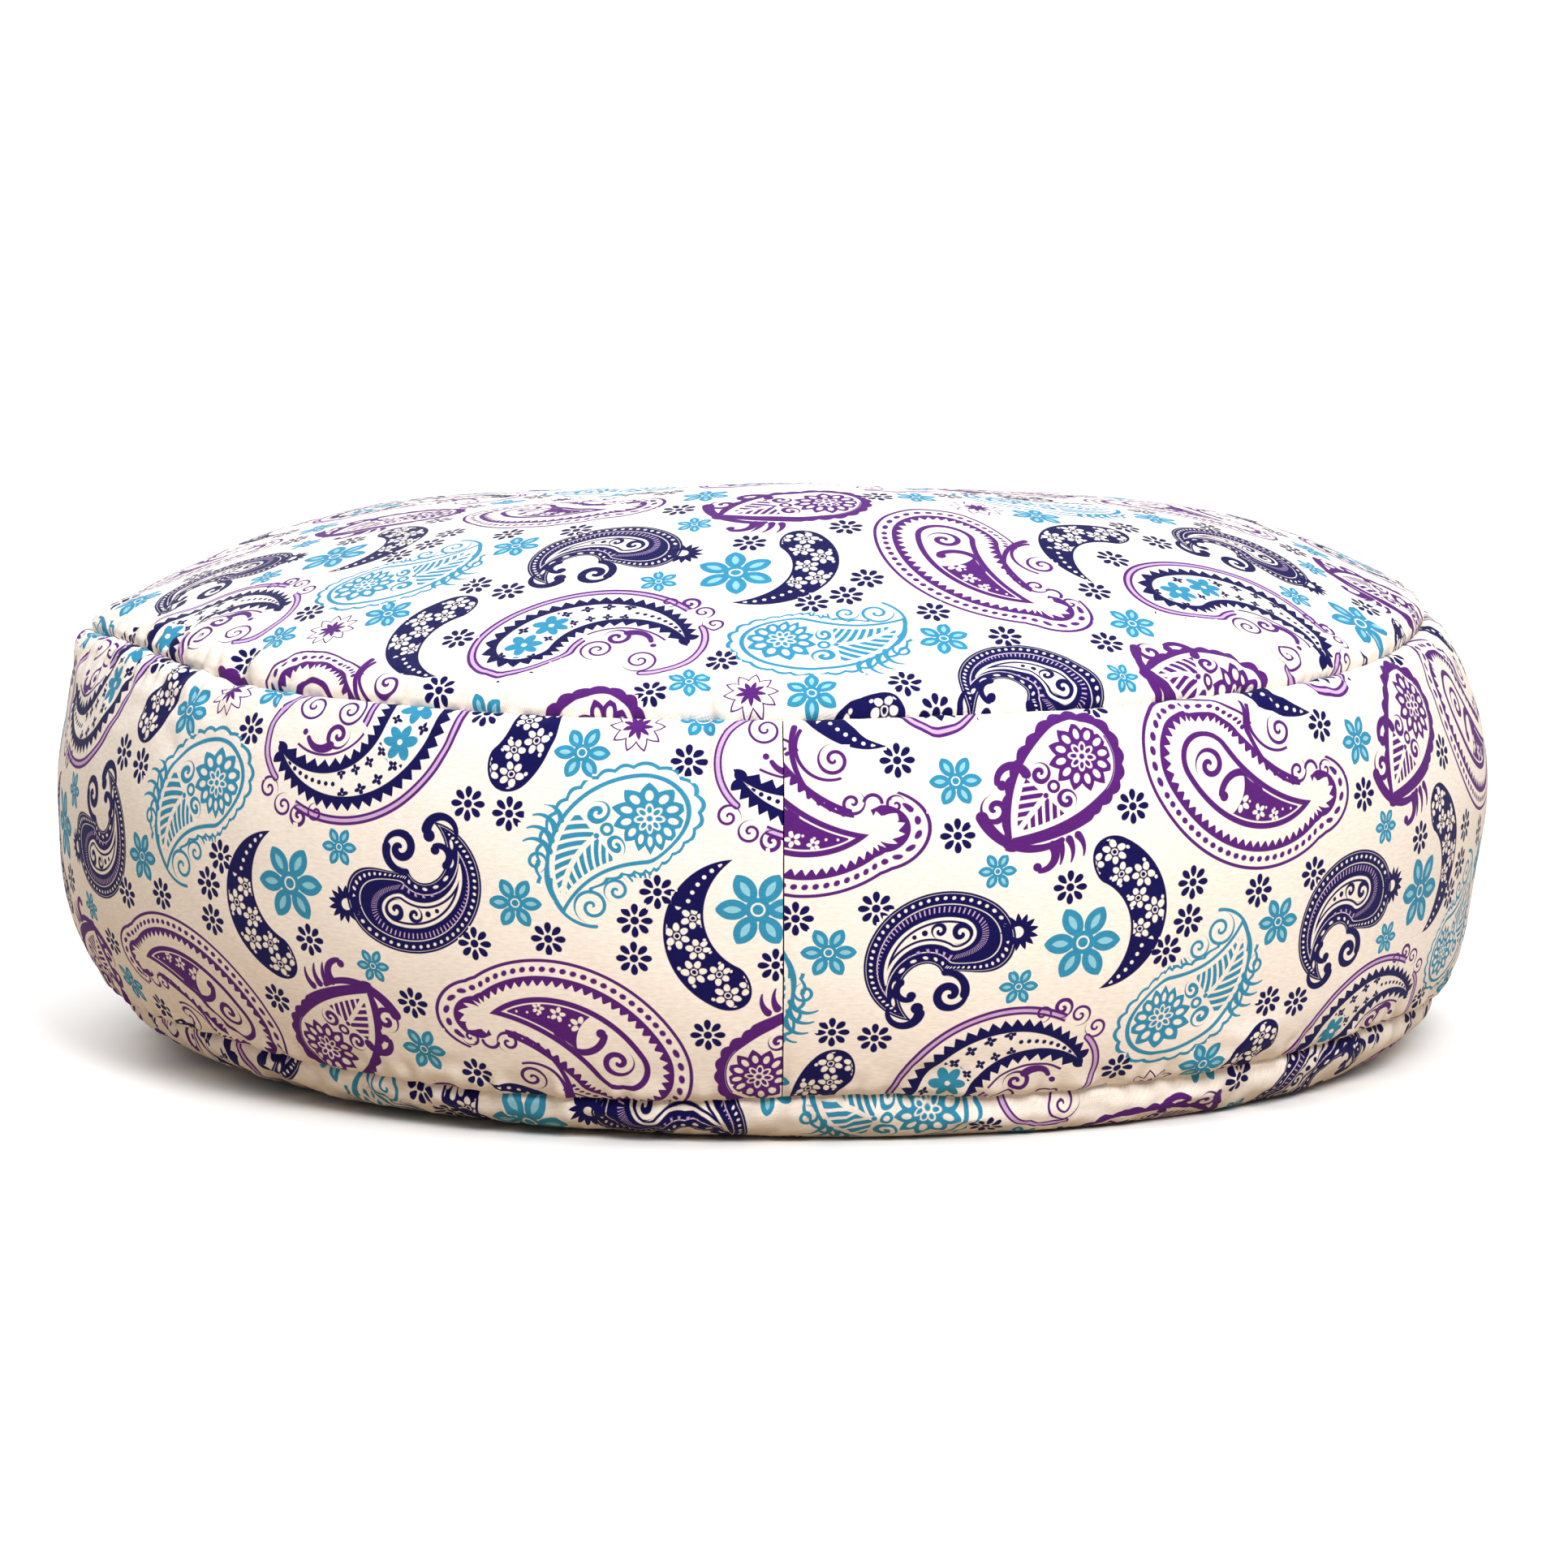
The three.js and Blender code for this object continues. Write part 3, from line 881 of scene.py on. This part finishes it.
def ornate(x, y):
    """A navy paisley with white rows and a white teardrop, and with thick scrolls and a spiky eye."""
    along, across, body, walk = paisley(x, y, "ornate")
    dots = hypot(walk.wrapped(2.2, -2.2), body + 3.6) - 1.15
    rails = joined(line(body, -1.1, 0.55), line(body, -7.0, 0.9))
    inside = along.most(6).least(64)
    core = hypot(across + 1, along - inside) - inside.times_plus(-0.15, 10.2)
    curls = penned(along, across, curls=[
        ((5, 0), 6.0, 2.8, 5.6, 160), ((17, -1), 4.4, 2.0, 4.2, 20, -1),
    ], dots=[((25, -1), 1.5), ((31, -1), 1.1)])
    core = cut(core, within(joined(line(core, -2.6, 1.0), curls), core + 1.6))
    hatch = within(walk.folded(1.5) - 0.6, line(core, 4.2, 3.4), body + 6.5)
    white = within(joined(dots, rails, core), body + 0.5)
    eye = cut(star(x - 30, y - 114, 13, 10.5, 4.0), disc(x, y, (31, 114), 3.4))
    scrolls = penned(x, y, strokes=[
        ((69, 93), (59.5, 89), (57.5, 80), 1.6, 2.4), ((98, 72), (91, 62), (81, 69), 1.0, 2.8),
        ((92, 88), (92, 79), (86, 78), 2.0, 1.4),
    ], curls=[((65.5, 80.5), 10, 4.4, 8.0, 200, -1)], dots=[((82.5, 72.5), 3.2), ((86, 80), 2.4)])
    return {"navy": joined(cut(cut(body, white), hatch), eye, scrolls), "lilac": hatch}


def star_flower(x, y):
    """A turquoise flower of six pointed petals, each with a paler heart."""
    out = hypot(x, y)
    fold = y.angle(x).folded(math.pi / 6)
    side, ahead = fold.sine() * out, fold.cosine() * out - 13
    petal = hypot(ahead, side + 4.2) - 9.7
    heart = hypot(ahead, side + 4.8) - 6.9
    disc_and_ring = joined(out - 2.6, line(out, 5.2, 2.4))
    return {"turquoise": joined(cut(petal, heart), disc_and_ring), "sky": heart}


def floret(x, y):
    """A small navy flower of eight loose petals round a dot."""
    out = hypot(x, y)
    side = y.angle(x).folded(math.pi / 8) * out.times_plus(0.35, 4.6)
    return {"navy": joined(hypot((out - 6.6) * 0.75, side * 1.25) - 2.3, out - 2.2)}


def sunburst(x, y):
    """A solid purple star in a ring of drawn, pointed petals."""
    return {"purple": joined(star(x, y, 9, 9.5, 5.0), line(star(x, y, 10, 16.5, 6.0), 0, 1.2))}


DRAWINGS = {draw.__name__: draw for draw in (
    comma, sawtooth, leafy, thick_leafy, banded, ornate, star_flower, floret, sunburst,
)}
# Inks in the order in which they are printed
INKS = {"lilac": "#CDAFDE", "sky": "#8FCBE3", "navy": "#0D0A50", "purple": "#561F78", "turquoise": "#3390B8"}
COTTON, YARN_SHADE = "#F8F3EE", "#EEE8E2"
BLEED = 0.45  # the ink bleeds this far into the cotton, in millimetres, which softens the edges of the print
INK_SPREAD = 0.2  # wet ink makes each shape this much larger
WEAVE_PITCH = 1.4  # in millimetres: coarser than the real 0.4, so that the weave can be seen
WEAVE_STRENGTH, WEAVE_DEPTH = 0.35, 0.0003
SLUBS = (0.2, 0.7, 0)  # thick places of the yarn, in waves to a millimetre along the band and down it
ROUGHNESS_THIN, ROUGHNESS_THICK = 0.76, 0.9  # of the yarn
COTTON_SHINE = {"Sheen Weight": 0.04, "Sheen Roughness": 0.5, "Specular IOR Level": 0.1}


def print_colour(tree, kind, yarn):
    """Colour of the printed cotton where it lies in a figure of this kind."""
    cloth = colour(COTTON)
    if kind != "plain":
        place = add_node(tree, "ShaderNodeAttribute", attribute_name="figure")
        parts = add_node(tree, "ShaderNodeSeparateXYZ", Field(place.outputs["Vector"]))
        shapes = DRAWINGS[kind](Field(parts.outputs["X"]), Field(parts.outputs["Y"]))
        for ink in [name for name in INKS if name in shapes]:
            amount = shapes[ink].times_plus(-1 / BLEED, 0.5 + INK_SPREAD / BLEED, clamp=True)
            cloth = Field(add_node(tree, "ShaderNodeMixRGB", amount, cloth, colour(INKS[ink])).outputs[0])
    shaded = add_node(tree, "ShaderNodeMixRGB", yarn, cloth, colour(YARN_SHADE), blend_type="MULTIPLY")
    return shaded.outputs[0]


def printed_cotton(kind):
    """Plain-weave cotton: matt, with a soft bloom of loose fibres at its edges and a print in it."""
    cotton = bpy.data.materials.new(f"printed_plain_weave_cotton_{kind}")
    cotton.use_nodes = True
    tree = cotton.node_tree
    shader = tree.nodes["Principled BSDF"]
    for name, value in COTTON_SHINE.items():
        shader.inputs[name].default_value = value
    cloth = add_node(tree, "ShaderNodeAttribute", attribute_name="cloth")
    place = Field(cloth.outputs["Vector"])
    stretched = add_node(tree, "ShaderNodeVectorMath", place, SLUBS, operation="MULTIPLY")
    noise = add_node(tree, "ShaderNodeTexNoise", Field(stretched.outputs[0]), None, 1.0, 3.0)
    yarn = Field(noise.outputs[0]).times_plus(1.8, -0.4, clamp=True)
    parts = add_node(tree, "ShaderNodeSeparateXYZ", place)
    warp, weft = ((Field(parts.outputs[axis]) * (2 * math.pi / WEAVE_PITCH)).sine() for axis in "XY")
    weave = add_node(tree, "ShaderNodeBump", WEAVE_STRENGTH, WEAVE_DEPTH, None, warp * weft)
    tree.links.new(print_colour(tree, kind, yarn), shader.inputs["Base Color"])
    roughness = yarn.times_plus(ROUGHNESS_THICK - ROUGHNESS_THIN, ROUGHNESS_THIN)
    tree.links.new(roughness.socket, shader.inputs["Roughness"])
    tree.links.new(weave.outputs["Normal"], shader.inputs["Normal"])
    return cotton


# How the print lies on the cut pieces. On a round panel it is turned by an angle in degrees round a place in
# millimetres from the panel's middle. On a length of the band it runs on (1), or is turned half round (-1).
ROUND_LAID = {"top_panel": (150.8, (47, -139)), "bottom_panel": (-20, (0, 0))}
BAND_LAID = {
    "band_left": (1, ((BACK_SEAM - 360) * MM_PER_DEGREE, 0)),
    "band_right": (-1, (160 - FRONT_SEAM * MM_PER_DEGREE, 236)),
}


def flat(cloth):
    """Places on a round panel cut flat, from its middle, for distances and degrees."""
    angle = np.radians(cloth[..., 1])
    return cloth[..., :1] * np.stack([np.sin(angle), -np.cos(angle)], axis=-1)


def on_print(name, cloth):
    """Places on the print, for places on the cloth of a piece."""
    if name in BAND_LAID:
        sign, start = BAND_LAID[name]
        return start + sign * cloth
    turn, middle = ROUND_LAID[name]
    x, y = np.moveaxis(flat(cloth) - middle, -1, 0)
    c, s = math.cos(math.radians(turn)), math.sin(math.radians(turn))
    return np.stack([c * x + s * y, s * x - c * y], axis=-1)


# Flat layout of the pieces in their UV map: the round panels as they are cut, and each length of the band in
# two rows. The inner wall, which is never seen, is shrunk into a free corner.
ROUND_MAP_WIDTH, BAND_MAP_WIDTH, MAP_MARGIN = 850, 660, 8  # millimetres
UNSEEN_CORNER = 0.003


def flat_layout(name, cloth):
    """Places in the UV map for the corners of faces: (faces, corners, 2)."""
    if name in ROUND_LAID:
        return 0.5 + flat(cloth) / ROUND_MAP_WIDTH
    half = 90 * MM_PER_DEGREE
    second = cloth[..., 0].mean(axis=1, keepdims=True) > half
    along = (cloth[..., 0] - half * second + MAP_MARGIN) / BAND_MAP_WIDTH
    down = (cloth[..., 1] + MAP_MARGIN) / BAND_MAP_WIDTH
    return np.stack([along, down + 0.5 * second], axis=-1)


def numbers_of(items, name):
    values = np.empty(len(items), int)
    items.foreach_get(name, values)
    return values


def print_piece(piece, cloth, inner_start):
    """Lay a piece on the cloth, and the corners of its faces in the figures of the print."""
    mesh = piece.data
    vertex = numbers_of(mesh.loops, "vertex_index")
    starts, sizes = (numbers_of(mesh.polygons, name) for name in ("loop_start", "loop_total"))
    outer = (sizes == 4) & (np.arange(len(sizes)) < inner_start)
    corners = starts[outer][:, None] + np.arange(4)
    laid = on_print(piece.name, cloth)

    figure = np.zeros((len(mesh.loops), 3), np.float32)
    kinds = np.zeros(len(mesh.polygons), np.int32)
    figure[corners, :2], kinds[outer] = lay_print(laid[vertex[corners]])
    mesh.attributes.new("figure", "FLOAT_VECTOR", "CORNER").data.foreach_set("vector", figure.ravel())
    mesh.polygons.foreach_set("material_index", kinds)

    on_cloth = np.column_stack([laid, np.zeros(len(laid))]).astype(np.float32)
    mesh.attributes.new("cloth", "FLOAT_VECTOR", "POINT").data.foreach_set("vector", on_cloth.ravel())

    layout = np.full((len(mesh.loops), 2), UNSEEN_CORNER, np.float32)
    layout[corners] = flat_layout(piece.name, cloth[vertex[corners]])
    mesh.uv_layers.new(name="OFBake").data.foreach_set("uv", layout.ravel())


PIECES = [
    round_panel("top_panel", EDGE_STEPS, crown_level, CROWN_LENGTH),
    round_panel("bottom_panel", BASE_STEPS, base_level, BASE_RADIUS + ROLL_LENGTH),
    band_panel("band_left", BACK_SEAM - 360, FRONT_SEAM),
    band_panel("band_right", FRONT_SEAM, BACK_SEAM),
]
COTTONS = [printed_cotton(kind) for kind in KINDS]
for name, points, faces, cloth, inner_start in PIECES:
    piece = make_piece(name, points, faces)
    for cotton in COTTONS:
        piece.data.materials.append(cotton)
    print_piece(piece, cloth, inner_start)
    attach(piece, "root")
    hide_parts("cushion")

# Floor: white paper, but the light that it throws back is dim and warm, as the photograph has it
FLOOR_SHOWN, FLOOR_THROWN = "#FFFFFF", "#B29C82"
bpy.ops.mesh.primitive_plane_add(size=80)
floor = bpy.context.object
floor.name = "studio_floor"
paper = bpy.data.materials.new("white_studio_paper")
paper.use_nodes = True
sheet = paper.node_tree
shown = sheet.nodes["Principled BSDF"]
shown.inputs["Base Color"].default_value = colour(FLOOR_SHOWN)
shown.inputs["Roughness"].default_value = 0.9
thrown = add_node(sheet, "ShaderNodeBsdfDiffuse", colour(FLOOR_THROWN))
rays = add_node(sheet, "ShaderNodeLightPath")
surface = add_node(
    sheet, "ShaderNodeMixShader", Field(rays.outputs["Is Diffuse Ray"]), Field(shown.outputs["BSDF"]),
    Field(thrown.outputs["BSDF"]),
)
sheet.links.new(surface.outputs["Shader"], sheet.nodes["Material Output"].inputs["Surface"])
floor.data.materials.append(paper)

# Camera at the photograph's angle
EYE = Vector((-0.002, -4.0, 0.680))
TARGET = Vector((0.00625, 0, 0.142))

camera = bpy.data.objects.new("camera", bpy.data.cameras.new("camera"))
camera.data.lens = 163.6
camera.data.sensor_width = 36
camera.location = EYE
camera.rotation_euler = (TARGET - EYE).to_track_quat("-Z", "Y").to_euler()
bpy.context.collection.objects.link(camera)
bpy.context.scene.camera = camera

# Light: a white room that is brightest overhead, a softbox in front and a weaker one behind
SKY_LOW, SKY_RISE = 0.25, 1.6
world = bpy.data.worlds.new("studio")
world.use_nodes = True
sky = world.node_tree
direction = add_node(sky, "ShaderNodeTexCoord")
parts = add_node(sky, "ShaderNodeSeparateXYZ", Field(direction.outputs["Generated"]))
overhead = Field(parts.outputs["Z"]).most(0.0)
background = sky.nodes["Background"]
background.inputs["Color"].default_value = (1, 1, 1, 1)
sky.links.new((overhead * overhead).times_plus(SKY_RISE, SKY_LOW).socket, background.inputs["Strength"])
bpy.context.scene.world = world
bpy.context.scene.view_settings.view_transform = "Standard"


def softbox(name, place, size, power):
    """A square light that faces the middle of the cushion."""
    lamp = bpy.data.objects.new(name, bpy.data.lights.new(name, "AREA"))
    lamp.data.size = size
    lamp.data.energy = power
    lamp.location = place
    lamp.rotation_euler = (Vector((0, 0, 0.15)) - lamp.location).to_track_quat("-Z", "Y").to_euler()
    bpy.context.collection.objects.link(lamp)


softbox("softbox_front", (0.95, -3.2, 2.25), 1.4, 128)
softbox("softbox_back", (-1.6, 3.4, 1.7), 1.6, 60)
